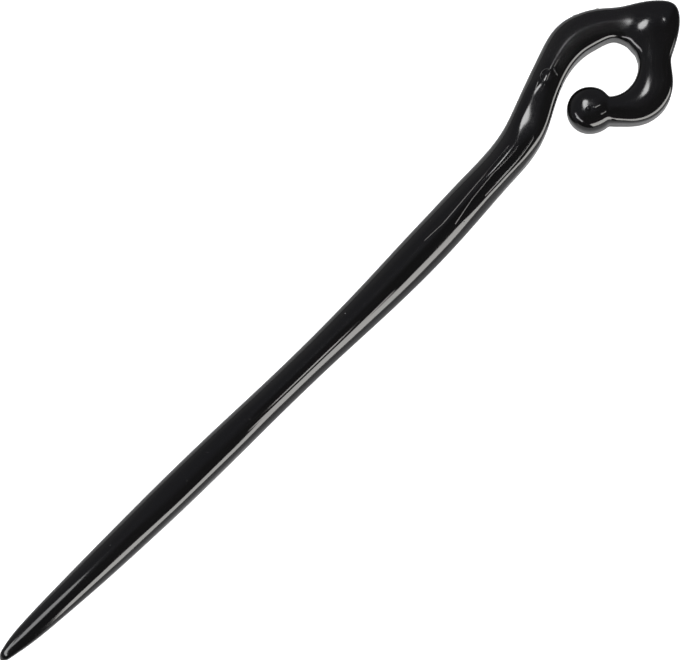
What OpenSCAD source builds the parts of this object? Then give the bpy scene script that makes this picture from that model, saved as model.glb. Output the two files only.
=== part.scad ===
// Curled hair stick, cut and polished from one slab of black horn.
// A tapering shaft sways into a neck, turns round an open eye with a pointed crown, and comes
// back through a lobe and a narrow arm to a round knob. The stick lies on its flat side: the tip
// points to -X, the curl to +X and the eye opens along Z. The origin is the middle of the
// stick's outline, on the surface that it lies on.

/* [Stick] */
// Length from the tip to the crown
stick_length = 175; // [165:1:190]
// Thickness of the slab that the stick is cut from, which no part of it is thicker than
slab_t = 6.6; // [6:0.1:7.2]
// Widths of the shaft and the curl against those of the table of sections
girth = 1; // [0.94:0.01:1.06]

/* [Tip] */
// Length over which the tip is rounded off
tip_round = 1.2; // [0.8:0.1:1.4]
// Height of the tip's underside above the surface
tip_lift = 0.8; // [0:0.1:1.2]
// Length over which the shaft's underside rises to the tip
tip_rise = 30; // [20:1:45]

/* [Knob] */
// Diameter of the knob at the end of the curl
knob_d = 8.7; // [8.2:0.1:9.2]
// Softness of the corner between the arm and the knob, on the side of the eye
inner_blend = 0.5; // [0.2:0.1:0.8]
// Softness of the corner between the arm and the knob, on the outside
outer_blend = 0.5; // [0.3:0.1:1]
// Softness of the rise from the arm to the knob, above and below
valley_blend = 0.4; // [0.2:0.1:0.8]

/* [Fineness] */
// Sides of a section
sides = 32; // [16:4:32]
// Sections that are made for each row of the table
rings_per_row = 3; // [2:1:4]
// Sections that round off the tip
tip_rings = 4; // [3:1:6]
// Sections that close the far half of the knob
knob_rings = 10; // [8:1:12]

/* [Hidden] */

HORN_BLACK = [0.07, 0.07, 0.08];

// Columns of the table of sections: place of the section's middle, way that the stick runs
// there in degrees from +X, width across it and thickness
X = 0;
Y = 1;
HEADING = 2;
WIDTH = 3;
THICKNESS = 4;

// Length and slab that the table is drawn for, with the tip at X = 0
TABLE_LENGTH = 175.3;
TABLE_SLAB = 6.6;

// Places along X between which the shaft, which lies on its underside, gives way to the curl,
// whose middle is level
FLAT_FROM = 115;
FLAT_BY = 145;

// Rows at the table's end where the arm runs into the knob
ARM_ROWS = 5;

SECTIONS = [
    // X, Y, HEADING, WIDTH, THICKNESS
    // Tip and belly of the shaft
    [0, 0.15, 0, 1.5, 1.2],
    [1.5, 0.2, 0, 2.2, 1.65],
    [4, 0.25, -1, 3.2, 2.2],
    [8, 0.15, -1, 4.15, 2.9],
    [14, 0.05, -1, 4.85, 3.75],
    [22, -0.1, -1, 5.6, 4.6],
    [32, -0.2, 0, 6.2, 5.25],
    [44, -0.25, 0, 6.65, 5.6],
    // Waist of the shaft
    [57, -0.25, 0, 6.6, 5.6],
    [70, -0.3, 0, 6.25, 5.4],
    [83, -0.35, 0, 6.35, 5.4],
    // Thickest stretch of the shaft
    [96, -0.35, 1, 7.15, 5.5],
    [107, -0.05, 2, 7.8, 5.65],
    [116, 0.35, 3, 7.75, 5.95],
    [123, 0.8, 4, 7.55, 6.3],
    [129, 1.15, 5, 7.2, 6.55],
    // Neck
    [134.9, 1.75, 11, 7.4, 6.1],
    [139.65, 3.15, 20, 7.45, 5.3],
    [144.2, 5.25, 25, 6.8, 5.45],
    [148.1, 6.9, 21, 6.4, 5.8],
    // Shoulder
    [151.7, 8.1, 15, 6.55, 6.15],
    [154.8, 8.8, 5, 7.2, 6.4],
    [157.9, 8.8, -11, 7.5, 6.35],
    [161.65, 7.5, -28, 7, 6],
    [164.3, 5.85, -43, 6.15, 5.7],
    // Crown, with its corner at the widest row
    [165.8, 4.45, -55, 6.8, 5.65],
    [167.1, 3.3, -67, 8.2, 5.9],
    [168.5, 1.8, -79, 10.05, 6.45],
    [169.4, 0, -90, 11.8, 6.6],
    [168.55, -1.8, -101, 10.4, 6.4],
    [167.25, -3.2, -111, 8.5, 6.2],
    [165.6, -4.35, -123, 6.75, 6],
    [164.4, -5.4, -134, 6, 5.85],
    // Lobe
    [162.2, -7.65, -149, 7.1, 5.45],
    [159.2, -8.85, -172, 7.6, 5.35],
    [156.2, -8.45, -197, 6.95, 5.4],
    // Arm, running into the middle of the knob
    [153.95, -7.05, -214, 5.7, 5.7],
    [152.4, -5.8, -223, 5.3, 6.05],
    [151.1, -4.4, -228, 5.3, 6.1],
    [149.8, -3, -229, 5.3, 5.8],
];
LAST = len(SECTIONS) - 1;

// Columns of the table of shapes: row of the table of sections, and how square a section is
// there across its top and underside, up its outer side and up the side that faces the eye.
// Across, less than 2 is a ridge, 2 is a dome and more is flatter. Up a side, 2 is round and
// more is steeper.
ROW = 0;
TOP = 1;
OUTER_SIDE = 2;
EYE_SIDE = 3;

SHAPES = [
    // ROW, TOP, OUTER_SIDE, EYE_SIDE
    [0, 2, 2.2, 3],
    [3, 2, 2.2, 3],
    [5, 2, 2.1, 2.5],
    [6, 2, 2.1, 2.6],
    [7, 2.7, 2.1, 2.8],
    [8, 2.6, 2.1, 2.8],
    [9, 1.7, 2.1, 2.3],
    [10, 1.7, 2.1, 2.2],
    [11, 2, 2.1, 2.1],
    [12, 2, 2.1, 1.95],
    [13, 1.9, 2.1, 2.1],
    [14, 1.8, 2.1, 2.4],
    [15, 1.5, 2.1, 3.2],
    [16, 1.8, 2.2, 5],
    [17, 3.2, 2.3, 6],
    [18, 3.2, 2.4, 6],
    [19, 1.4, 2.5, 9],
    [24, 1.3, 3.5, 9],
    [27, 2, 8, 6],
    [31, 3, 12, 4],
    [33, 2.8, 10, 4],
    [34, 2, 7, 4],
    [LAST, 2, 4, 4],
];
KNOB_SHAPE = [LAST, 2.8, 3, 3];

plan_scale = stick_length / TABLE_LENGTH;
slab_scale = slab_t / TABLE_SLAB;
knob_r = knob_d / 2;
knob_mid = plan_scale * [SECTIONS[LAST][X], SECTIONS[LAST][Y]];

// Larger of two sizes, softened over k where one takes over from the other
function soft_max(a, b, k) = max(a, b) + pow(max(k - abs(a - b), 0), 2) / (4 * k);

// Rise from 0 to 1 that starts and ends level
function ease(t) =
    let (c = min(max(t, 0), 1))
    c * c * (3 - 2 * c);

// Row i pushed away from its neighbours by as much as the smooth curve pulls it back
function handle(i) =
    i < 0 ? 2 * SECTIONS[0] - handle(1)
    : i > LAST ? 2 * SECTIONS[LAST] - handle(LAST - 1)
    : i == 0 || i == LAST ? SECTIONS[i]
    : (8 * SECTIONS[i] - SECTIONS[i - 1] - SECTIONS[i + 1]) / 6;

// Columns of the table at u rows from its start, along a cubic B-spline
function columns_at(u) =
    let (
        i = min(floor(u), LAST - 1),
        f = u - i,
        g = 1 - f
    )
    (pow(g, 3) * handle(i - 1)
        + (3 * pow(f, 3) - 6 * f * f + 4) * handle(i)
        + (3 * pow(g, 3) - 6 * g * g + 4) * handle(i + 1)
        + pow(f, 3) * handle(i + 2)) / 6;

// Columns of the table of shapes at u rows from its start, eased from entry to entry
function shape_at(u) =
    let (
        before = max([for (k = [0:len(SHAPES) - 2]) if (SHAPES[k][ROW] <= u) k]),
        start = SHAPES[before],
        end = SHAPES[before + 1]
    )
    start + (end - start) * ease((u - start[ROW]) / (end[ROW] - start[ROW]));

// Share of its full size that a section has at length d from a rounded end
function rounded(d, length) = d >= length ? 1 : sqrt(1 - pow(1 - d / length, 2));

// Height of a section's middle: the shaft lies on its underside, and the curl is level
function mid_height(x, thickness) =
    thickness / 2
    + (slab_t - thickness) / 2 * ease((x - FLAT_FROM) / (FLAT_BY - FLAT_FROM))
    + tip_lift * pow(max(1 - x / tip_rise, 0), 2);

// Columns of a ring: the section's middle, its heading, its half widths to the left, which is
// the outside of the curl, and to the right, its half height, its middle's height and its shape
MIDDLE = 0;
COURSE = 1;
LEFT = 2;
RIGHT = 3;
HALF_HEIGHT = 4;
HEIGHT = 5;
SHAPE = 6;

// Share of the knob's height at a share of its radius from its middle
function knob_profile(reach) = pow(1 - pow(reach, KNOB_SHAPE[TOP]), 1 / KNOB_SHAPE[EYE_SIDE]);

// Ring at u rows from the tip
function stick_ring(u) =
    let (
        row = columns_at(u),
        mid = plan_scale * [row[X], row[Y]],
        end_share = rounded(mid[0], tip_round),
        half_width = girth * row[WIDTH] / 2 * end_share,
        thickness = slab_scale * row[THICKNESS] * end_share,
        reach = u < LAST - ARM_ROWS ? 1 : min(norm(mid - knob_mid) / knob_r, 1),
        swell = sqrt(1 - reach * reach),
        shape = shape_at(u)
    )
    [
        mid,
        row[HEADING],
        soft_max(half_width, knob_r * swell, outer_blend),
        soft_max(half_width, knob_r * swell, inner_blend),
        soft_max(thickness / 2, slab_t / 2 * knob_profile(reach), valley_blend),
        mid_height(mid[0], thickness),
        shape + (KNOB_SHAPE - shape) * swell,
    ];

// Ring of the knob's far half, at angle a from the knob's widest section
function knob_ring(a) =
    let (
        heading = SECTIONS[LAST][HEADING],
        ahead = knob_r * sin(a) * [cos(heading), sin(heading)],
        half_width = knob_r * cos(a)
    )
    [
        knob_mid + ahead,
        heading,
        half_width,
        half_width,
        slab_t / 2 * knob_profile(sin(a)),
        slab_t / 2,
        KNOB_SHAPE,
    ];

// Cosine or sine of a section's angle, bent so that the section gets its shape
function bent(value, squareness) = sign(value) * pow(abs(value), 2 / squareness);

// Point of a ring at angle a, counted from its left side over its top
function ring_point(ring, a) =
    let (
        is_left = cos(a) > 0,
        side = ring[SHAPE][is_left ? OUTER_SIDE : EYE_SIDE],
        out = bent(cos(a), ring[SHAPE][TOP]) * ring[is_left ? LEFT : RIGHT],
        up = bent(sin(a), side) * ring[HALF_HEIGHT],
        sideways = [-sin(ring[COURSE]), cos(ring[COURSE])],
        plan = ring[MIDDLE] + out * sideways
    )
    [plan[0], plan[1], ring[HEIGHT] + up];

// Places along the table: close together where the tip is rounded, and even after that
rounded_rows = tip_round / SECTIONS[1][X];
tip_places = [for (i = [1:tip_rings]) (1 - cos(90 * i / (tip_rings + 1))) * rounded_rows];
even_places = [for (i = [rings_per_row:LAST * rings_per_row]) i / rings_per_row];

// Angles of the knob's far rings, closest together at its far side
knob_angles = [for (i = [1:knob_rings]) 90 * (1 - pow(1 - i / (knob_rings + 1), 2))];

rings = [
    for (u = tip_places) stick_ring(u),
    for (u = even_places) stick_ring(u),
    for (a = knob_angles) knob_ring(a),
];

tip_point = [0, plan_scale * SECTIONS[0][Y], stick_ring(0)[HEIGHT]];
knob_end = knob_ring(90);
knob_point = [knob_end[MIDDLE][0], knob_end[MIDDLE][1], knob_end[HEIGHT]];

skin_points = [
    tip_point,
    for (r = rings) for (j = [0:sides - 1]) ring_point(r, 360 * j / sides),
    knob_point,
];

// Number of corner j of ring i in the list of points
function corner(i, j) = 1 + i * sides + j % sides;

skin_faces = [
    for (j = [0:sides - 1]) [0, corner(0, j), corner(0, j + 1)],
    for (i = [0:len(rings) - 2]) for (j = [0:sides - 1]) each [
        [corner(i, j), corner(i + 1, j), corner(i + 1, j + 1)],
        [corner(i, j), corner(i + 1, j + 1), corner(i, j + 1)],
    ],
    for (j = [0:sides - 1])
        [len(skin_points) - 1, corner(len(rings) - 1, j + 1), corner(len(rings) - 1, j)],
];

// Middle of the outline along column c of the points
function middle(c) =
    let (places = [for (p = skin_points) p[c]])
    (min(places) + max(places)) / 2;

lowest = min([for (p = skin_points) p[2]]);

module hair_stick() {
    color(HORN_BLACK)
        translate([-middle(0), -middle(1), -lowest])
            polyhedron(points = skin_points, faces = skin_faces, convexity = 4);
}

hair_stick();
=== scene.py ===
"""A curled hair stick of polished black horn, on a pale studio floor.

The stick lies on its flat side with its tip to -X and its curl to +X. Every size is in metres
unless its name or its table's heading says millimetres.
"""

import math

import bpy
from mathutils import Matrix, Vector


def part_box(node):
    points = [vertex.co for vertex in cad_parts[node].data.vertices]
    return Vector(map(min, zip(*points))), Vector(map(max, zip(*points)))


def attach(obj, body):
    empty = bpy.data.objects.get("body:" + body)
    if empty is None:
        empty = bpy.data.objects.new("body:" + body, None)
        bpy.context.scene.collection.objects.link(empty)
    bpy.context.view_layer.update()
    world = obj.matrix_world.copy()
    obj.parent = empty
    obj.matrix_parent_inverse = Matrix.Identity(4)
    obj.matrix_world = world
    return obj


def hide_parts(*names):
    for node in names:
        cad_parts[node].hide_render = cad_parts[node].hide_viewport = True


bl_info = {
    "name": "Horn Hair Stick",
    "version": (1, 0, 0),
    "blender": (4, 5, 0),
    "location": "3D View > Sidebar > Hair Stick",
    "description": "Makes a curled hair stick of polished black horn and a pale studio round it",
    "category": "Add Mesh",
}

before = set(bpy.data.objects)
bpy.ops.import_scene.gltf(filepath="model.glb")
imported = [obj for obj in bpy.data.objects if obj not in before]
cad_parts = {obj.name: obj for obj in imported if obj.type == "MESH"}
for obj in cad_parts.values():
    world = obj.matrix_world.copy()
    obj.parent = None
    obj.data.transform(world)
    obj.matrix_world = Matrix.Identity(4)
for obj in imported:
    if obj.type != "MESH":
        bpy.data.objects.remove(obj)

MM = 0.001
STICK_NODE = "hair_stick"
NODE_LOW, NODE_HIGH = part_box(STICK_NODE)

# Columns of the table of sections, in millimetres and degrees: place of the section's middle, way
# that the stick runs there, width across it and thickness
X, Y, HEADING, WIDTH, THICKNESS = range(5)

# Length and slab that the table is drawn for, in millimetres, with the tip at X = 0
TABLE_LENGTH = 175.3
TABLE_SLAB = 6.6

SECTIONS = [
    # X, Y, HEADING, WIDTH, THICKNESS
    # Tip and belly of the shaft
    (0, 0.15, 0, 1.5, 1.2),
    (1.5, 0.2, 0, 2.2, 1.65),
    (4, 0.25, -1, 3.2, 2.2),
    (8, 0.15, -1, 4.15, 2.9),
    (14, 0.05, -1, 4.85, 3.75),
    (22, -0.1, -1, 5.6, 4.6),
    (32, -0.2, 0, 6.2, 5.25),
    (44, -0.25, 0, 6.65, 5.6),
    # Waist of the shaft
    (57, -0.25, 0, 6.6, 5.6),
    (70, -0.3, 0, 6.25, 5.4),
    (83, -0.35, 0, 6.35, 5.4),
    # Thickest stretch of the shaft
    (96, -0.35, 1, 7.15, 5.5),
    (107, -0.05, 2, 7.8, 5.65),
    (116, 0.35, 3, 7.75, 5.95),
    (123, 0.8, 4, 7.55, 6.3),
    (129, 1.15, 5, 7.2, 6.55),
    # Neck
    (134.9, 1.75, 11, 7.4, 6.1),
    (139.65, 3.15, 20, 7.45, 5.3),
    (144.2, 5.25, 25, 6.8, 5.45),
    (148.1, 6.9, 21, 6.4, 5.8),
    # Shoulder
    (151.7, 8.1, 15, 6.55, 6.15),
    (154.8, 8.8, 5, 7.2, 6.4),
    (157.9, 8.8, -11, 7.5, 6.35),
    (161.65, 7.5, -28, 7, 6),
    (164.3, 5.85, -43, 6.15, 5.7),
    # Crown, with its corner at the widest row
    (165.8, 4.45, -55, 6.8, 5.65),
    (167.1, 3.3, -67, 8.2, 5.9),
    (168.5, 1.8, -79, 10.05, 6.45),
    (169.4, 0, -90, 11.8, 6.6),
    (168.55, -1.8, -101, 10.4, 6.4),
    (167.25, -3.2, -111, 8.5, 6.2),
    (165.6, -4.35, -123, 6.75, 6),
    (164.4, -5.4, -134, 6, 5.85),
    # Lobe
    (162.2, -7.65, -149, 7.1, 5.45),
    (159.2, -8.85, -172, 7.6, 5.35),
    (156.2, -8.45, -197, 6.95, 5.4),
    # Arm, running into the middle of the knob
    (153.95, -7.05, -214, 5.7, 5.7),
    (152.4, -5.8, -223, 5.3, 6.05),
    (151.1, -4.4, -228, 5.3, 6.1),
    (149.8, -3, -229, 5.3, 5.8),
]
LAST = len(SECTIONS) - 1

# Columns of the table of shapes: row of the table of sections, and how square a section is there
# across its top and underside, up its outer side and up the side that faces the eye. Across, less
# than 2 is a ridge, 2 is a dome and more is flatter. Up a side, 2 is round and more is steeper.
ROW, TOP, OUTER_SIDE, EYE_SIDE = range(4)

SHAPES = [
    # ROW, TOP, OUTER_SIDE, EYE_SIDE
    (0, 2, 2.2, 3),
    (3, 2, 2.2, 3),
    (5, 2, 2.1, 2.5),
    (6, 2, 2.1, 2.6),
    (7, 2.7, 2.1, 2.8),
    (8, 2.6, 2.1, 2.8),
    (9, 1.7, 2.1, 2.3),
    (10, 1.7, 2.1, 2.2),
    (11, 2, 2.1, 2.1),
    (12, 2, 2.1, 1.95),
    (13, 1.9, 2.1, 2.1),
    (14, 1.8, 2.1, 2.4),
    (15, 1.5, 2.1, 3.2),
    (16, 1.8, 2.2, 5),
    (17, 3.2, 2.3, 6),
    (18, 3.2, 2.4, 6),
    (19, 1.4, 2.5, 9),
    (24, 1.3, 3.5, 9),
    (27, 2, 8, 6),
    (31, 3, 12, 4),
    (33, 2.8, 10, 4),
    (34, 2, 7, 4),
    (LAST, 2, 4, 4),
]
KNOB_SHAPE = (LAST, 2.8, 3, 3)

# Places along X, in millimetres, between which the shaft, which lies on its underside, gives way to
# the curl, whose middle is level
FLAT_FROM, FLAT_BY = 115, 145

# Rows at the table's end where the arm runs into the knob
ARM_ROWS = 5

# Row where the shaft ends and the curl begins
NECK_ROW = 15

# Softness, in millimetres, of the corner between arm and knob outside the curl and towards its
# eye, and of the rise from the arm to the knob, above and below
OUTER_BLEND, INNER_BLEND, VALLEY_BLEND = 0.5, 0.5, 0.4


def soft_max(a, b, softness):
    """The larger of two sizes, softened where one takes over from the other."""
    return max(a, b) + max(softness - abs(a - b), 0) ** 2 / (4 * softness)


def ease(t):
    """Rise from 0 to 1 that starts and ends level."""
    c = min(max(t, 0), 1)
    return c * c * (3 - 2 * c)


def weighted(weights, rows):
    """Sum of the rows, column by column, each times its weight."""
    return [sum(w * v for w, v in zip(weights, column)) for column in zip(*rows)]


def handle(i):
    """Row i pushed away from its neighbours by as much as the smooth curve pulls it back."""
    if i < 0:
        return weighted((2, -1), (SECTIONS[0], handle(1)))
    if i > LAST:
        return weighted((2, -1), (SECTIONS[LAST], handle(LAST - 1)))
    if i in (0, LAST):
        return SECTIONS[i]
    return weighted((-1 / 6, 8 / 6, -1 / 6), SECTIONS[i - 1:i + 2])


HANDLES = {i: handle(i) for i in range(-1, LAST + 2)}


def columns_at(u):
    """Columns of the table at u rows from its start, along a cubic B-spline."""
    i = min(int(u), LAST - 1)
    f = u - i
    g = 1 - f
    weights = (
        g ** 3 / 6,
        (3 * f ** 3 - 6 * f ** 2 + 4) / 6,
        (3 * g ** 3 - 6 * g ** 2 + 4) / 6,
        f ** 3 / 6,
    )
    return weighted(weights, [HANDLES[i + k] for k in (-1, 0, 1, 2)])


def between(start, end, share):
    """Value at a share of the way from start to end."""
    return start + (end - start) * share


def shape_at(u):
    """Columns of the table of shapes at u rows from the start, eased from entry to entry."""
    after = next(k for k in range(1, len(SHAPES)) if u <= SHAPES[k][ROW])
    start, end = SHAPES[after - 1:after + 1]
    share = ease((u - start[ROW]) / (end[ROW] - start[ROW]))
    return [between(a, b, share) for a, b in zip(start, end)]


class StickSizes(bpy.types.PropertyGroup):
    """Sizes of the stick, and how finely it is made."""

    length: bpy.props.FloatProperty(
        name="Length",
        description="Length from the tip to the crown",
        default=175 * MM,
        unit="LENGTH",
    )
    slab: bpy.props.FloatProperty(
        name="Slab",
        description="Thickness of the slab that the stick is cut from",
        default=NODE_HIGH.z - NODE_LOW.z,
        unit="LENGTH",
    )
    knob: bpy.props.FloatProperty(
        name="Knob",
        description="Diameter of the knob at the end of the curl",
        default=8.7 * MM,
        unit="LENGTH",
    )
    tip_round: bpy.props.FloatProperty(
        name="Tip round",
        description="Length over which the tip is rounded off",
        default=1.2 * MM,
        unit="LENGTH",
    )
    tip_lift: bpy.props.FloatProperty(
        name="Tip lift",
        description="Height of the tip's underside above the floor",
        default=0.8 * MM,
        unit="LENGTH",
    )
    tip_rise: bpy.props.FloatProperty(
        name="Tip rise",
        description="Length over which the underside rises to the tip",
        default=30 * MM,
        unit="LENGTH",
    )
    sides: bpy.props.IntProperty(
        name="Sides",
        description="Faces round the stick",
        default=96,
    )
    shaft_step: bpy.props.FloatProperty(
        name="Shaft step",
        description="Distance between sections on the shaft",
        default=0.38 * MM,
        unit="LENGTH",
    )
    curl_step: bpy.props.FloatProperty(
        name="Curl step",
        description="Distance between sections on the curl",
        default=0.16 * MM,
        unit="LENGTH",
    )


class HornFinish(bpy.types.PropertyGroup):
    """Colours and polish of the horn."""

    dark: bpy.props.FloatVectorProperty(
        name="Dark",
        description="Colour of the horn between its growth streaks",
        default=(0.0022, 0.0022, 0.0025),
        subtype="COLOR",
    )
    streak: bpy.props.FloatVectorProperty(
        name="Streak",
        description="Colour of the faint growth streaks",
        default=(0.005, 0.0045, 0.0045),
        subtype="COLOR",
    )
    dust: bpy.props.FloatVectorProperty(
        name="Dust",
        description="Colour of the specks of dust",
        default=(0.12, 0.12, 0.12),
        subtype="COLOR",
    )
    polished: bpy.props.FloatProperty(
        name="Polished",
        description="Roughness where the polish is best",
        default=0.07,
        subtype="FACTOR",
    )
    worn: bpy.props.FloatProperty(
        name="Worn",
        description="Roughness where the polish is handled dull",
        default=0.14,
        subtype="FACTOR",
    )
    dull: bpy.props.FloatProperty(
        name="Dull",
        description="Roughness where the shoulder was left unpolished",
        default=0.26,
        subtype="FACTOR",
    )
    polish_lines: bpy.props.FloatProperty(
        name="Polish lines",
        description="Height of the finest lines that the polishing left",
        default=0.0012 * MM,
        unit="LENGTH",
    )


class StudioSetup(bpy.types.PropertyGroup):
    """Camera and light."""

    turn: bpy.props.FloatProperty(
        name="Turn",
        description="Angle of the stick to the picture's level",
        default=math.radians(44.6),
        unit="ROTATION",
    )
    elevation: bpy.props.FloatProperty(
        name="Elevation",
        description="Height of the camera above the floor, as an angle",
        default=math.radians(79),
        unit="ROTATION",
    )
    lens: bpy.props.FloatProperty(
        name="Lens",
        description="Focal length in millimetres",
        default=300,
    )
    view_width: bpy.props.FloatProperty(
        name="View width",
        description="Width of what the camera sees at the stick",
        default=125.7 * MM,
        unit="LENGTH",
    )
    paper: bpy.props.FloatVectorProperty(
        name="Paper",
        description="Colour of the floor",
        default=(0.8, 0.8, 0.8),
        subtype="COLOR",
    )
    glow_seen: bpy.props.FloatProperty(
        name="Glow seen",
        description="Light that the floor itself gives towards the camera",
        default=1.0,
    )
    glow_mirrored: bpy.props.FloatProperty(
        name="Glow mirrored",
        description="Light that the floor itself gives towards the stick",
        default=0.0,
    )


def rounded(distance, length):
    """Share of its full size that a section has at a distance from a rounded end."""
    return 1.0 if distance >= length else math.sqrt(max(0, 1 - (1 - distance / length) ** 2))


def ring_of(middle, heading, half_widths, half_height, height, shape):
    """One section of the stick: sizes in metres, heading in radians, half widths on the left,
    which is outside the curl, and on the right."""
    return {
        "middle": Vector((middle[0], middle[1], height)),
        "heading": heading,
        "left": half_widths[0],
        "right": half_widths[1],
        "half_height": half_height,
        "top": shape[TOP],
        "left_side": shape[OUTER_SIDE],
        "right_side": shape[EYE_SIDE],
    }


def stick_ring(u, sizes):
    """Section at u rows from the tip."""
    scale = sizes.length / TABLE_LENGTH
    row = columns_at(u)
    end = SECTIONS[LAST]
    middle = [scale * row[X], scale * row[Y]]
    knob_radius = sizes.knob / 2
    end_share = rounded(middle[0], sizes.tip_round)
    half_width = row[WIDTH] * MM / 2 * end_share
    thickness = row[THICKNESS] / TABLE_SLAB * sizes.slab * end_share
    reach = 1.0
    if u >= LAST - ARM_ROWS:
        to_knob = math.dist(middle, (scale * end[X], scale * end[Y]))
        reach = min(to_knob / knob_radius, 1.0)
    swell = math.sqrt(1 - reach ** 2)
    knob_height = sizes.slab / 2 * knob_profile(reach)
    level = (sizes.slab - thickness) / 2 * ease((row[X] - FLAT_FROM) / (FLAT_BY - FLAT_FROM))
    lift = sizes.tip_lift * max(1 - middle[0] / sizes.tip_rise, 0) ** 2
    return ring_of(
        middle,
        math.radians(row[HEADING]),
        [soft_max(half_width, knob_radius * swell, s * MM) for s in (OUTER_BLEND, INNER_BLEND)],
        soft_max(thickness / 2, knob_height, VALLEY_BLEND * MM),
        thickness / 2 + level + lift,
        [between(a, b, swell) for a, b in zip(shape_at(u), KNOB_SHAPE)],
    )


def knob_profile(reach):
    """Share of the knob's height at a share of its radius from its middle."""
    return (1 - reach ** KNOB_SHAPE[TOP]) ** (1 / KNOB_SHAPE[EYE_SIDE])


def knob_ring(angle, sizes):
    """Section of the knob's far half, at an angle from the knob's widest section."""
    scale = sizes.length / TABLE_LENGTH
    row = SECTIONS[LAST]
    heading = math.radians(row[HEADING])
    ahead = sizes.knob / 2 * math.sin(angle)
    half_width = sizes.knob / 2 * math.cos(angle)
    way = (math.cos(heading), math.sin(heading))
    middle = [scale * row[k] + ahead * w for k, w in zip((X, Y), way)]
    half_height = sizes.slab / 2 * knob_profile(math.sin(angle))
    return ring_of(middle, heading, [half_width] * 2, half_height, sizes.slab / 2, KNOB_SHAPE)


# Sections in the round of the tip and in the far half of the knob, and places that are tried for
# a section in each row of the table
TIP_RINGS = 14
KNOB_RINGS = 56
TRIES_PER_ROW = 40

# Rows before and after the neck's own over which the steps grow finer
FINER_ROWS = 1


def stick_rings(sizes):
    """All sections from the tip to the far side of the knob, by even steps along the stick."""
    scale = sizes.length / TABLE_LENGTH
    first_row = SECTIONS[1][X] * scale
    rings = []
    for i in range(TIP_RINGS):
        x = sizes.tip_round * (1 - math.cos(math.pi / 2 * i / TIP_RINGS))
        rings.append(stick_ring(x / first_row, sizes))
    # The tip is closed by a section drawn in to a point
    rings.insert(0, dict(rings[0], left=0.0, right=0.0, half_height=0.0))
    start = sizes.tip_round / first_row
    steps_done = 0.0
    due = 0.0
    here = None
    for i in range(int(start * TRIES_PER_ROW), LAST * TRIES_PER_ROW + 1):
        u = i / TRIES_PER_ROW
        row = columns_at(u)
        place = (scale * row[X], scale * row[Y])
        if here is not None:
            curl = ease((u - NECK_ROW + FINER_ROWS) / (2 * FINER_ROWS))
            step = between(sizes.shaft_step, sizes.curl_step, curl)
            steps_done += math.dist(here, place) / step
        here = place
        if steps_done >= due:
            rings.append(stick_ring(u, sizes))
            due += 1
    for i in range(1, KNOB_RINGS + 1):
        left = 1 - i / KNOB_RINGS
        rings.append(knob_ring(math.pi / 2 * (1 - left ** 2), sizes))
    return rings


class TreeMaker:
    """Adds nodes to a tree and joins them."""

    def __init__(self, tree):
        self.tree = tree

    def node(self, kind, inputs=None, **settings):
        """A new node with its settings, whose inputs are given a value or joined to a socket."""
        made = self.tree.nodes.new(kind)
        for name, value in settings.items():
            setattr(made, name, value)
        for key, value in (inputs or {}).items():
            if isinstance(value, bpy.types.NodeSocket):
                self.tree.links.new(value, made.inputs[key])
            else:
                made.inputs[key].default_value = value
        return made

    def math(self, operation, *values):
        """Result of a sum with numbers."""
        made = self.node("ShaderNodeMath", dict(enumerate(values)), operation=operation)
        return made.outputs[0]

    def vector_math(self, operation, *values):
        """Result of a sum with vectors, which is a number for some operations."""
        made = self.node("ShaderNodeVectorMath", dict(enumerate(values)), operation=operation)
        return made.outputs["Value" if operation in ("LENGTH", "DOT_PRODUCT", "DISTANCE") else 0]

    def mix(self, factor, a, b, data_type="FLOAT"):
        """What lies between a and b, at a share of the way."""
        inputs = {"Factor": factor, "A": a, "B": b}
        return self.node("ShaderNodeMix", inputs, data_type=data_type).outputs["Result"]

    def smooth(self, value, low, high):
        """Smooth rise from 0 at low to 1 at high, or fall where high is the smaller."""
        inputs = {"Value": value, "From Min": low, "From Max": high}
        made = self.node("ShaderNodeMapRange", inputs, interpolation_type="SMOOTHSTEP")
        return made.outputs["Result"]

    def split(self, vector):
        """The three numbers of a vector."""
        return self.node("ShaderNodeSeparateXYZ", {"Vector": vector}).outputs

    def combine(self, x, y, z):
        """A vector of three numbers."""
        return self.node("ShaderNodeCombineXYZ", {"X": x, "Y": y, "Z": z}).outputs[0]

    def socket(self, name, kind, default=None, way="INPUT"):
        """A named input or output of the whole tree."""
        made = self.tree.interface.new_socket(name=name, in_out=way, socket_type=kind)
        if default is not None:
            made.default_value = default
        return made


RING_COLUMNS = {
    # Attribute of the line's points, and its type
    "middle": "FLOAT_VECTOR",
    "heading": "FLOAT",
    "left": "FLOAT",
    "right": "FLOAT",
    "half_height": "FLOAT",
    "top": "FLOAT",
    "left_side": "FLOAT",
    "right_side": "FLOAT",
    "along": "FLOAT",
}
PLACE_ATTRIBUTE = "stick_place"


def superellipse(make, value, squareness):
    """Cosine or sine of a section's angle, bent so that the section gets its squareness."""
    power = make.math("DIVIDE", 2.0, squareness)
    size = make.math("POWER", make.math("ABSOLUTE", value), power)
    return make.math("MULTIPLY", make.math("SIGN", value), size)


MARKS = [
    # along, across, up, radius, height, in millimetres
    # Dimple in the shoulder, with its raised lip
    (149.5, -0.15, 2.7, 2.2, 0.05),
    (149.5, -0.15, 2.7, 1.4, -0.1),
    # Second facet of the crown
    (175.5, 2.9, 3.1, 1.8, 0.14),
    # Steps left by the saw on the outside of the shoulder
    (164.4, 3.4, 0.5, 0.6, 0.2),
    (160.9, 3.7, 0.5, 0.5, 0.15),
]


# How closely the waves of handwork lie, along the stick, across it and up its side, per metre
HANDWORK_SCALE = (90.0, 420.0, 420.0)


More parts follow.
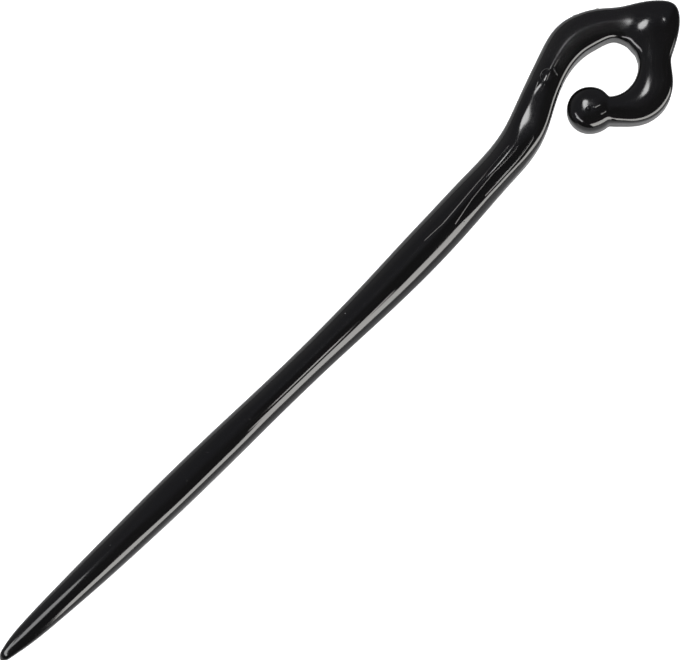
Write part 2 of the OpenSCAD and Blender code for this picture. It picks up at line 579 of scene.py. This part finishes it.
def carved(make, solid, place, wave):
    """The solid with its dents and raised marks, and the waves of handwork."""
    height = wave
    for along, across, up, radius, rise in MARKS:
        centre = [v * MM for v in (along, across, up)]
        away = make.vector_math("DISTANCE", place, centre)
        share = make.smooth(away, radius * MM, 0.0)
        height = make.math("MULTIPLY_ADD", share, rise * MM, height)
    normal = make.node("GeometryNodeInputNormal").outputs[0]
    offset = make.node("ShaderNodeVectorMath", {0: normal, "Scale": height}, operation="SCALE")
    worked = {"Geometry": solid, "Offset": offset.outputs[0]}
    return make.node("GeometryNodeSetPosition", worked).outputs[0]


def handwork(make, place, seed, depth):
    """Waves of a surface shaped by hand: long and shallow along the stick."""
    longways = make.vector_math("MULTIPLY", place, HANDWORK_SCALE)
    noise = make.node(
        "ShaderNodeTexNoise",
        {"Vector": longways, "W": seed, "Scale": 1.0, "Detail": 1.0},
        noise_dimensions="4D",
    )
    return make.math("MULTIPLY", make.math("SUBTRACT", noise.outputs[0], 0.5), depth)


def sweep_tree():
    """Geometry Nodes that sweep a section along a line of points, closed at both ends."""
    tree = bpy.data.node_groups.new("Sweep Sections", "GeometryNodeTree")
    make = TreeMaker(tree)
    make.socket("Line", "NodeSocketGeometry")
    make.socket("Sides", "NodeSocketInt", 96)
    make.socket("Seam Gap", "NodeSocketFloat", 1e-6)
    make.socket("Handwork", "NodeSocketFloat", 0.03 * MM)
    make.socket("Seed", "NodeSocketFloat", 4.0)
    make.socket("Material", "NodeSocketMaterial")
    make.socket("Stick", "NodeSocketGeometry", way="OUTPUT")
    given = make.node("NodeGroupInput").outputs
    line = given["Line"]

    count = make.node("GeometryNodeAttributeDomainSize", {"Geometry": line}).outputs["Point Count"]
    around = make.math("ADD", given["Sides"], 1)
    grid = make.node("GeometryNodeMeshGrid", {"Vertices X": count, "Vertices Y": around})

    index = make.node("GeometryNodeInputIndex").outputs[0]
    ring = make.math("FLOOR", make.math("DIVIDE", make.math("ADD", index, 0.5), around))
    side = make.math("SUBTRACT", index, make.math("MULTIPLY", ring, around))
    turn = make.math("DIVIDE", make.math("MULTIPLY", side, -math.tau), given["Sides"])
    angle = make.math("SUBTRACT", turn, math.pi / 2)

    here = {}
    for name, kind in RING_COLUMNS.items():
        column = make.node("GeometryNodeInputNamedAttribute", {"Name": name}, data_type=kind)
        here[name] = make.node(
            "GeometryNodeSampleIndex",
            {"Geometry": line, "Value": column.outputs["Attribute"], "Index": ring},
            data_type=kind,
        ).outputs["Value"]

    is_left = make.math("GREATER_THAN", make.math("COSINE", angle), 0.0)
    half_width = make.mix(is_left, here["right"], here["left"])
    side_shape = make.mix(is_left, here["right_side"], here["left_side"])
    across = superellipse(make, make.math("COSINE", angle), here["top"])
    up = superellipse(make, make.math("SINE", angle), side_shape)
    out = make.math("MULTIPLY", across, half_width)
    rise = make.math("MULTIPLY", up, here["half_height"])
    sideways = make.combine(
        make.math("MULTIPLY", out, make.math("MULTIPLY", make.math("SINE", here["heading"]), -1.0)),
        make.math("MULTIPLY", out, make.math("COSINE", here["heading"])),
        rise,
    )
    place = make.vector_math("ADD", here["middle"], sideways)
    straightened = make.combine(here["along"], out, rise)

    marked = make.node(
        "GeometryNodeStoreNamedAttribute",
        {"Geometry": grid.outputs["Mesh"], "Name": PLACE_ATTRIBUTE, "Value": straightened},
        data_type="FLOAT_VECTOR",
        domain="POINT",
    )
    shaped = make.node(
        "GeometryNodeSetPosition",
        {"Geometry": marked.outputs[0], "Position": place},
    )
    closed = make.node(
        "GeometryNodeMergeByDistance",
        {"Geometry": shaped.outputs[0], "Distance": given["Seam Gap"]},
    )
    stored = make.node(
        "GeometryNodeInputNamedAttribute",
        {"Name": PLACE_ATTRIBUTE},
        data_type="FLOAT_VECTOR",
    ).outputs["Attribute"]
    wave = handwork(make, stored, given["Seed"], given["Handwork"])
    worked = carved(make, closed.outputs[0], stored, wave)
    smooth = make.node("GeometryNodeSetShadeSmooth", {"Geometry": worked})
    real = make.node("GeometryNodeRealizeInstances", {"Geometry": smooth.outputs[0]})
    finished = make.node(
        "GeometryNodeSetMaterial",
        {"Geometry": real.outputs[0], "Material": given["Material"]},
    )
    make.node("NodeGroupOutput", {"Stick": finished.outputs[0]})
    return tree


def line_of_rings(rings):
    """A mesh of one point for each section, which holds its sizes as attributes."""
    mesh = bpy.data.meshes.new("stick_line")
    edges = [(i, i + 1) for i in range(len(rings) - 1)]
    mesh.from_pydata([r["middle"] for r in rings], edges, [])
    along = 0.0
    for i, ring in enumerate(rings):
        along += (ring["middle"] - rings[i - 1]["middle"]).length if i else 0.0
        ring["along"] = along
    for name, kind in RING_COLUMNS.items():
        column = mesh.attributes.new(name, kind, "POINT")
        for slot, ring in zip(column.data, rings):
            if kind == "FLOAT_VECTOR":
                slot.vector = ring[name]
            else:
                slot.value = ring[name]
    return mesh


def plain_mesh(name, line, tree, inputs):
    """The finished mesh that a tree makes of a line, as an object of its own."""
    carrier = bpy.data.objects.new("carrier", line)
    bpy.context.scene.collection.objects.link(carrier)
    modifier = carrier.modifiers.new("Sweep", "NODES")
    modifier.node_group = tree
    for item in tree.interface.items_tree:
        if item.in_out == "INPUT" and item.name in inputs:
            modifier[item.identifier] = inputs[item.name]
    graph = bpy.context.evaluated_depsgraph_get()
    mesh = bpy.data.meshes.new_from_object(carrier.evaluated_get(graph), depsgraph=graph)
    mesh.name = name
    # The carrier's own slot, which is empty, can come before the sweep's material
    if mesh.materials[0] is None:
        mesh.materials.pop(index=0)
    bpy.data.objects.remove(carrier)
    bpy.data.meshes.remove(line)
    piece = bpy.data.objects.new(name, mesh)
    bpy.context.scene.collection.objects.link(piece)
    return piece


def seat_on_node(piece, node):
    """Moves a piece's mesh so that its box stands where the node's box is."""
    low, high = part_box(node)
    spans = [[v.co[k] for v in piece.data.vertices] for k in range(3)]
    aside = [(low[k] + high[k] - min(spans[k]) - max(spans[k])) / 2 for k in range(2)]
    shift = Vector((*aside, low.z - min(spans[2])))
    for vertex in piece.data.vertices:
        vertex.co += shift


def new_group(name, inputs, outputs):
    """A shader group with its sockets, as a maker for its nodes and what it is given."""
    tree = bpy.data.node_groups.new(name, "ShaderNodeTree")
    make = TreeMaker(tree)
    for label, kind, default in inputs:
        make.socket(label, kind, default)
    for label, kind in outputs:
        make.socket(label, kind, way="OUTPUT")
    return make, make.node("NodeGroupInput").outputs


def streaks_group():
    """Mask of soft streaks that run along the stick."""
    make, given = new_group(
        "Long Streaks",
        [
            ("Place", "NodeSocketVector", None),
            ("Along Scale", "NodeSocketFloat", 20.0),
            ("Across Scale", "NodeSocketFloat", 900.0),
            ("Detail", "NodeSocketFloat", 4.0),
            ("Seed", "NodeSocketFloat", 0.0),
        ],
        [("Mask", "NodeSocketFloat")],
    )
    stretch = make.combine(given["Along Scale"], given["Across Scale"], given["Across Scale"])
    place = make.vector_math("MULTIPLY", given["Place"], stretch)
    noise = make.node(
        "ShaderNodeTexNoise",
        {"Vector": place, "W": given["Seed"], "Scale": 1.0, "Detail": given["Detail"]},
        noise_dimensions="4D",
    )
    make.node("NodeGroupOutput", {"Mask": noise.outputs[0]})
    return make.tree


def hairline_group():
    """Height of one straight hairline ridge on the top of the stick."""
    make, given = new_group(
        "Hairline",
        [
            ("Place", "NodeSocketVector", None),
            ("Start", "NodeSocketFloat", 0.0),
            ("End", "NodeSocketFloat", 0.1),
            ("Start Across", "NodeSocketFloat", 0.0),
            ("End Across", "NodeSocketFloat", 0.0),
            ("Half Width", "NodeSocketFloat", 0.12 * MM),
            ("Rise", "NodeSocketFloat", 0.012 * MM),
            ("Fade", "NodeSocketFloat", 0.25 * MM),
        ],
        [("Height", "NodeSocketFloat")],
    )
    along, across, up = make.split(given["Place"])
    length = make.math("SUBTRACT", given["End"], given["Start"])
    share = make.math("DIVIDE", make.math("SUBTRACT", along, given["Start"]), length)
    middle = make.mix(share, given["Start Across"], given["End Across"])
    away = make.math("ABSOLUTE", make.math("SUBTRACT", across, middle))
    ridge = make.smooth(away, given["Half Width"], 0.0)
    ends = []
    for end, (outside, inside) in (("Start", ("SUBTRACT", "ADD")), ("End", ("ADD", "SUBTRACT"))):
        low, high = (make.math(way, given[end], given["Fade"]) for way in (outside, inside))
        ends.append(make.smooth(along, low, high))
    window = make.math("MULTIPLY", *ends)
    on_top = make.math("MULTIPLY", window, make.math("GREATER_THAN", up, 0.0))
    height = make.math("MULTIPLY", make.math("MULTIPLY", ridge, on_top), given["Rise"])
    make.node("NodeGroupOutput", {"Height": height})
    return make.tree


# Cosine by which the end of a curved ridge fades out, and a spread so low that it has no end
ARC_FADE = 0.1
ALL_ROUND = -2.0


def arc_group():
    """Height of one curved ridge on the top of the stick, or of a pinhead where it has no radius."""
    make, given = new_group(
        "Arc Ridge",
        [
            ("Place", "NodeSocketVector", None),
            ("Along", "NodeSocketFloat", 0.1),
            ("Across", "NodeSocketFloat", 0.0),
            ("Radius", "NodeSocketFloat", 1.3 * MM),
            ("Half Width", "NodeSocketFloat", 0.12 * MM),
            ("Rise", "NodeSocketFloat", 0.05 * MM),
            ("Facing", "NodeSocketFloat", 0.0),
            ("Spread", "NodeSocketFloat", 0.3),
        ],
        [("Height", "NodeSocketFloat")],
    )
    along, across, up = make.split(given["Place"])
    ahead = make.math("SUBTRACT", along, given["Along"])
    aside = make.math("SUBTRACT", across, given["Across"])
    away = make.vector_math("LENGTH", make.combine(ahead, aside, 0.0))
    beside = make.math("ABSOLUTE", make.math("SUBTRACT", away, given["Radius"]))
    ridge = make.smooth(beside, given["Half Width"], 0.0)
    turned = make.math("ARCTAN2", aside, ahead)
    leaning = make.math("COSINE", make.math("SUBTRACT", turned, given["Facing"]))
    window = make.smooth(leaning, given["Spread"], make.math("ADD", given["Spread"], ARC_FADE))
    on_top = make.math("MULTIPLY", window, make.math("GREATER_THAN", up, 0.0))
    height = make.math("MULTIPLY", make.math("MULTIPLY", ridge, on_top), given["Rise"])
    make.node("NodeGroupOutput", {"Height": height})
    return make.tree


# Share of a dull zone's half width that is fully dull
DULL_CORE = 0.6


def dull_zone_group():
    """Mask of a stretch of the top that was polished less."""
    make, given = new_group(
        "Dull Zone",
        [
            ("Place", "NodeSocketVector", None),
            ("Start", "NodeSocketFloat", 0.0),
            ("End", "NodeSocketFloat", 0.1),
            ("Half Width", "NodeSocketFloat", 2.4 * MM),
            ("Fade", "NodeSocketFloat", 2.0 * MM),
        ],
        [("Mask", "NodeSocketFloat")],
    )
    along, across, up = make.split(given["Place"])
    fade = given["Fade"]
    begun = make.smooth(along, given["Start"], make.math("ADD", given["Start"], fade))
    ended = make.smooth(along, given["End"], make.math("SUBTRACT", given["End"], fade))
    side = make.math("ABSOLUTE", across)
    core = make.math("MULTIPLY", given["Half Width"], DULL_CORE)
    narrow = make.smooth(side, given["Half Width"], core)
    window = make.math("MULTIPLY", begun, ended)
    on_top = make.math("MULTIPLY", narrow, make.math("GREATER_THAN", up, 0.0))
    make.node("NodeGroupOutput", {"Mask": make.math("MULTIPLY", window, on_top)})
    return make.tree


def specks_group():
    """Mask of a few tiny pale specks."""
    make, given = new_group(
        "Specks",
        [
            ("Place", "NodeSocketVector", None),
            ("Scale", "NodeSocketFloat", 260.0),
            ("Size", "NodeSocketFloat", 0.03),
            ("Share", "NodeSocketFloat", 0.1),
        ],
        [("Mask", "NodeSocketFloat")],
    )
    cells = make.node(
        "ShaderNodeTexVoronoi", {"Vector": given["Place"], "Scale": given["Scale"]}
    ).outputs
    near = make.math("LESS_THAN", cells["Distance"], given["Size"])
    chosen = make.math("LESS_THAN", make.split(cells["Color"])[0], given["Share"])
    make.node("NodeGroupOutput", {"Mask": make.math("MULTIPLY", near, chosen)})
    return make.tree


# Inputs of a hairline that its table gives, in the table's order
HAIRLINE_INPUTS = ("Start", "End", "Start Across", "End Across", "Half Width", "Rise", "Fade")

HAIRLINES = [
    # start, end, across at the start, across at the end, half width, rise, fade, in millimetres
    # Low ridges that double the bright band of the waist
    (62, 98, -0.9, -0.95, 0.4, 0.035, 4),
    (60, 100, -1.5, -1.6, 0.2, 0.016, 3),
    # Low ridge that narrows the bright band before the neck
    (120, 138, -2.55, -2.6, 0.9, 0.09, 5),
    # Outer line of the upper shaft
    (110, 115, 0.72, 0.38, 0.12, 0.06, 0.25),
    (115, 134, 0.38, 0.9, 0.12, 0.07, 0.25),
    # Inner line, which bends away from the middle
    (116.3, 121.7, -1.35, -0.6, 0.12, 0.03, 0.25),
    (121.7, 127.9, -0.6, -0.3, 0.12, 0.03, 0.25),
    (127.9, 135, -0.3, -0.65, 0.12, 0.03, 0.25),
    # Line beside the bright side
    (124, 138, -1.95, -2.1, 0.14, 0.04, 0.25),
    # Strokes of the file through the dimple and beside it
    (148.4, 150.3, -0.26, -0.19, 0.14, 0.05, 0.25),
    (151.4, 153.4, -0.42, -0.5, 0.14, 0.04, 0.25),
    (146.1, 147.5, -0.17, -0.34, 0.14, 0.04, 0.25),
    (151.3, 154.2, 1.15, 1.55, 0.12, 0.015, 0.25),
    (146.1, 149.2, 1.07, 1.14, 0.12, 0.015, 0.25),
    # Strokes of the file on the knob
    (197.9, 198.95, -0.5, 0.13, 0.2, 0.08, 0.25),
    (196.76, 197.64, 0.65, 1.28, 0.2, 0.07, 0.25),
]

# Inputs of a curved ridge or a pinhead that its table gives in millimetres, in the table's order
ARC_INPUTS = ("Along", "Across", "Radius", "Half Width", "Rise")

ARCS = [
    # along, across, radius, half width, rise, in millimetres, facing in degrees, spread
    # Rim of the dimple, to its left and to its right
    (149.45, -0.2, 1.3, 0.2, 0.11, 90, 0.25),
    (149.45, -0.2, 1.7, 0.2, 0.1, -38, 0.9),
]

PINHEADS = [
    # along, across, half width, rise, in millimetres
    # Rise in the bright spot of the knob
    (200.05, 0.4, 0.6, 0.06),
    # Nub on the bright side of the shaft
    (117.8, -2.1, 0.35, 0.07),
    # Pinheads that the polishing left
    (132.7, 0.39, 0.16, 0.04),
    (163.9, -0.32, 0.16, 0.04),
    (184.8, 1.63, 0.16, 0.04),
    (120, 0.57, 0.14, 0.04),
    (113.8, 2.36, 0.14, 0.04),
    (63.7, -0.23, 0.14, 0.04),
    (53.8, 0.78, 0.14, 0.04),
    (47.5, -0.38, 0.14, 0.04),
    (29.1, 0.99, 0.14, 0.04),
]

# Stretch of the shoulder and crown that was polished less, in millimetres
DULL_ZONE = {"Start": 150.5, "End": 171, "Half Width": 2.6, "Fade": 2.5}


def in_metres(names, row):
    """Inputs by name, from the lengths of a row in millimetres."""
    return {name: value * MM for name, value in zip(names, row)}


# Values of the streaked haze between which the polish goes from its best to handled dull
HANDLED_RANGE = (0.15, 0.45)


def horn_material(finish):
    """Polished black horn."""
    material = bpy.data.materials.new("polished_black_horn")
    material.use_nodes = True
    tree = material.node_tree
    tree.nodes.clear()
    make = TreeMaker(tree)
    place = make.node("ShaderNodeAttribute", attribute_name=PLACE_ATTRIBUTE).outputs["Vector"]

    streaks = streaks_group()
    hairline = hairline_group()
    arc = arc_group()

    def placed(group, values):
        """What a group puts out, at the surface's place on the stick."""
        made = make.node("ShaderNodeGroup", node_tree=group)
        make.tree.links.new(place, made.inputs["Place"])
        for name, value in values.items():
            made.inputs[name].default_value = value
        return made.outputs[0]

    growth = placed(streaks, {"Along Scale": 14.0, "Across Scale": 500.0, "Seed": 1.0})
    colour = make.mix(growth, (*finish.dark, 1), (*finish.streak, 1), "RGBA")
    dust = placed(specks_group(), {"Scale": 300.0, "Size": 0.035, "Share": 0.05})
    colour = make.mix(dust, colour, (*finish.dust, 1), "RGBA")

    haze = placed(streaks, {"Along Scale": 60.0, "Across Scale": 160.0, "Seed": 2.0})
    fine = placed(streaks, {"Along Scale": 40.0, "Across Scale": 3500.0, "Seed": 3.0})
    handled = make.smooth(make.math("MULTIPLY", haze, fine), *HANDLED_RANGE)
    roughness = make.mix(handled, finish.polished, finish.worn)
    dulled = placed(dull_zone_group(), in_metres(DULL_ZONE, DULL_ZONE.values()))
    roughness = make.mix(dulled, roughness, finish.dull)

    height = make.math("MULTIPLY", fine, finish.polish_lines)
    for row in HAIRLINES:
        ridge = placed(hairline, in_metres(HAIRLINE_INPUTS, row))
        height = make.math("ADD", height, ridge)
    pinheads = [(x, y, 0, half_width, rise, 0, ALL_ROUND) for x, y, half_width, rise in PINHEADS]
    for *lengths, facing, spread in ARCS + pinheads:
        turned = {"Facing": math.radians(facing), "Spread": spread}
        ridge = placed(arc, in_metres(ARC_INPUTS, lengths) | turned)
        height = make.math("ADD", height, ridge)
    bump = make.node("ShaderNodeBump", {"Height": height, "Distance": 1.0, "Strength": 1.0})

    shader = make.node(
        "ShaderNodeBsdfPrincipled",
        {"Base Color": colour, "Roughness": roughness, "IOR": 1.54, "Normal": bump.outputs[0]},
    )
    make.node("ShaderNodeOutputMaterial", {"Surface": shader.outputs[0]})
    return material


class HAIRSTICK_OT_stick(bpy.types.Operator):
    """Makes the horn stick in one piece, from tip to knob"""

    bl_idname = "hairstick.stick"
    bl_label = "Hair Stick"

    def execute(self, context):
        sizes = context.scene.hairstick_sizes
        rings = stick_rings(sizes)
        inputs = {
            "Sides": sizes.sides,
            "Material": horn_material(context.scene.hairstick_finish),
        }
        piece = plain_mesh("horn_stick", line_of_rings(rings), sweep_tree(), inputs)
        seat_on_node(piece, STICK_NODE)
        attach(piece, "root")
        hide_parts(STICK_NODE)
        return {"FINISHED"}


def picture_axes(turn):
    """Ways on the floor that point right and up in the picture."""
    return Vector((math.cos(turn), -math.sin(turn), 0)), Vector((math.sin(turn), math.cos(turn), 0))


def toward(turn, azimuth, elevation):
    """Direction at an azimuth, counted in the picture from its right over its top, in degrees."""
    right, top = picture_axes(turn)
    a, e = math.radians(azimuth), math.radians(elevation)
    level = right * math.cos(a) + top * math.sin(a)
    return level * math.cos(e) + Vector((0, 0, math.sin(e)))


# Point of the stick that the middle of the picture shows
AIM = Vector((-0.22, 0.08, 3)) * MM

# Width of the camera's sensor, in millimetres, and half the floor's width
SENSOR = 36.0
FLOOR_HALF = 2.5

# Way in the picture to the room's lighter side, in degrees from the right, and its shades from
# the darker side, at 0, to the lighter side, at 1
ROOM_LIGHT_SIDE = 135
ROOM_SHADES = [
    (0.48, (0.07, 0.07, 0.072)),
    (0.58, (0.17, 0.175, 0.2)),
    (0.85, (0.19, 0.195, 0.215)),
    (1.0, (0.33, 0.33, 0.34)),
]

# Points that the lamps are turned to: the curl, and a place ahead of the tip
CURL = Vector((70, 0, 5)) * MM
AHEAD = Vector((-101.5, -2, 5)) * MM

# Angles are in degrees and lengths in metres. The last two columns say whether the stick mirrors
# the lamp, and whether the lamp lights the floor.
LIGHTS = [
    # name, aim, azimuth, elevation, distance, width, height, brightness, colour, gloss, floor
    ("key", CURL, -44.5, 33.3, 0.2393, 0.35, 0.124, 7.5, (1, 0.98, 0.95), True, False),
    ("card", CURL, -44.5, 9, 0.24, 0.35, 0.07, 0.6, (1, 1, 1), True, False),
    ("left_lamp", CURL, 212, 48, 0.5, 0.385, 0.095, 6, (1, 1, 1), True, False),
    ("tip_lamp", AHEAD, 139, 75, 0.16, 0.055, 0.055, 3.5, (1, 1, 1), True, False),
    ("curl_lamp", CURL, 108, 73, 0.4, 0.073, 0.073, 9, (1, 1, 1), True, False),
    ("fill", AIM, 0, 90, 1.2, 1.6, 1.6, 2.3, (1, 1, 1), False, True),
]


def make_light(row, turn):
    """One lamp of the table, which the stick mirrors or the floor is lit by."""
    name, aim, azimuth, elevation, distance, width, height, brightness, colour, gloss, floor = row
    lamp = bpy.data.lights.new(name, "AREA")
    lamp.shape = "ELLIPSE" if width == height else "RECTANGLE"
    lamp.size = width
    lamp.size_y = height
    lamp.energy = brightness * math.pi * width * height
    lamp.color = colour
    holder = bpy.data.objects.new(name, lamp)
    way = toward(turn, azimuth, elevation)
    holder.location = aim + way * distance
    holder.rotation_euler = (-way).to_track_quat("-Z", "Y").to_euler()
    holder.visible_glossy = gloss
    holder.visible_diffuse = floor
    holder.visible_camera = False
    bpy.context.scene.collection.objects.link(holder)


def make_camera(setup):
    """Camera above the floor, with the stick from corner to corner of its picture."""
    right, top = picture_axes(setup.turn)
    back = -math.cos(setup.elevation) * top + Vector((0, 0, math.sin(setup.elevation)))
    camera = bpy.data.cameras.new("camera")
    camera.lens = setup.lens
    camera.sensor_width = SENSOR
    distance = setup.view_width * setup.lens / SENSOR
    camera.clip_start = distance / 100
    camera.clip_end = distance * 10
    holder = bpy.data.objects.new("camera", camera)
    holder.location = AIM + back * distance
    holder.rotation_euler = (-back).to_track_quat("-Z", "Y").to_euler()
    bpy.context.scene.collection.objects.link(holder)
    bpy.context.scene.camera = holder


def make_floor(setup):
    """White paper under the stick, which is white to the camera and dim to the stick."""
    signs = ((-1, -1), (1, -1), (1, 1), (-1, 1))
    corners = [(x * FLOOR_HALF, y * FLOOR_HALF, NODE_LOW.z) for x, y in signs]
    mesh = bpy.data.meshes.new("floor")
    mesh.from_pydata(corners, [], [(0, 1, 2, 3)])
    material = bpy.data.materials.new("white_paper")
    material.use_nodes = True
    tree = material.node_tree
    tree.nodes.clear()
    make = TreeMaker(tree)
    faces = []
    for glow in (setup.glow_mirrored, setup.glow_seen):
        inputs = {
            "Base Color": (*setup.paper, 1),
            "Roughness": 1.0,
            "Specular IOR Level": 0.0,
            "Emission Color": (1, 1, 1, 1),
            "Emission Strength": glow,
        }
        faces.append(make.node("ShaderNodeBsdfPrincipled", inputs).outputs[0])
    is_camera = make.node("ShaderNodeLightPath").outputs["Is Camera Ray"]
    mixed = make.node("ShaderNodeMixShader", {0: is_camera, 1: faces[0], 2: faces[1]})
    make.node("ShaderNodeOutputMaterial", {"Surface": mixed.outputs[0]})
    mesh.materials.append(material)
    floor = bpy.data.objects.new("floor", mesh)
    bpy.context.scene.collection.objects.link(floor)


def make_world(setup):
    """A dim room, lighter on the side that the picture's upper left shows."""
    world = bpy.data.worlds.new("studio")
    world.use_nodes = True
    tree = world.node_tree
    tree.nodes.clear()
    make = TreeMaker(tree)
    way = make.node("ShaderNodeTexCoord").outputs["Generated"]
    light_side = toward(setup.turn, ROOM_LIGHT_SIDE, 0)
    lean = make.vector_math("DOT_PRODUCT", way, light_side)
    share = make.math("MULTIPLY_ADD", lean, 0.5, 0.5)
    room = make.node("ShaderNodeValToRGB", {"Fac": share})
    shades = room.color_ramp.elements
    shades.remove(shades[0])
    shades[0].position = ROOM_SHADES[-1][0]
    for place, colour in ROOM_SHADES[:-1]:
        shades.new(place)
    for shade, (place, colour) in zip(shades, ROOM_SHADES):
        shade.color = (*colour, 1)
    reflected = make.node("ShaderNodeBackground", {"Color": room.outputs["Color"]})
    seen = make.node("ShaderNodeBackground", {"Color": (1, 1, 1, 1)})
    is_camera = make.node("ShaderNodeLightPath").outputs["Is Camera Ray"]
    mixed = make.node(
        "ShaderNodeMixShader",
        {0: is_camera, 1: reflected.outputs[0], 2: seen.outputs[0]},
    )
    make.node("ShaderNodeOutputWorld", {"Surface": mixed.outputs[0]})
    bpy.context.scene.world = world


class HAIRSTICK_OT_studio(bpy.types.Operator):
    """Makes the pale floor, the soft lights and the camera"""

    bl_idname = "hairstick.studio"
    bl_label = "Studio"

    def execute(self, context):
        setup = context.scene.hairstick_studio
        make_camera(setup)
        make_floor(setup)
        make_world(setup)
        for row in LIGHTS:
            make_light(row, setup.turn)
        context.scene.view_settings.view_transform = "Standard"
        return {"FINISHED"}


class HAIRSTICK_PT_panel(bpy.types.Panel):
    """Lists what makes the hair stick and its studio"""

    bl_idname = "HAIRSTICK_PT_panel"
    bl_label = "Hair Stick"
    bl_space_type = "VIEW_3D"
    bl_region_type = "UI"
    bl_category = "Hair Stick"

    def draw(self, context):
        for group in (
            context.scene.hairstick_sizes,
            context.scene.hairstick_finish,
            context.scene.hairstick_studio,
        ):
            box = self.layout.box()
            for name in group.bl_rna.properties.keys():
                if name not in ("rna_type", "name"):
                    box.prop(group, name)
        for operator in (HAIRSTICK_OT_stick, HAIRSTICK_OT_studio):
            self.layout.operator(operator.bl_idname)


CLASSES = (
    StickSizes,
    HornFinish,
    StudioSetup,
    HAIRSTICK_OT_stick,
    HAIRSTICK_OT_studio,
    HAIRSTICK_PT_panel,
)


def register():
    for cls in CLASSES:
        bpy.utils.register_class(cls)
    scene = bpy.types.Scene
    scene.hairstick_sizes = bpy.props.PointerProperty(type=StickSizes)
    scene.hairstick_finish = bpy.props.PointerProperty(type=HornFinish)
    scene.hairstick_studio = bpy.props.PointerProperty(type=StudioSetup)


def unregister():
    for name in ("hairstick_sizes", "hairstick_finish", "hairstick_studio"):
        delattr(bpy.types.Scene, name)
    for cls in reversed(CLASSES):
        bpy.utils.unregister_class(cls)


def main():
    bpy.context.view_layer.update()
    register()
    bpy.ops.hairstick.stick()
    bpy.ops.hairstick.studio()


if __name__ == "__main__":
    main()
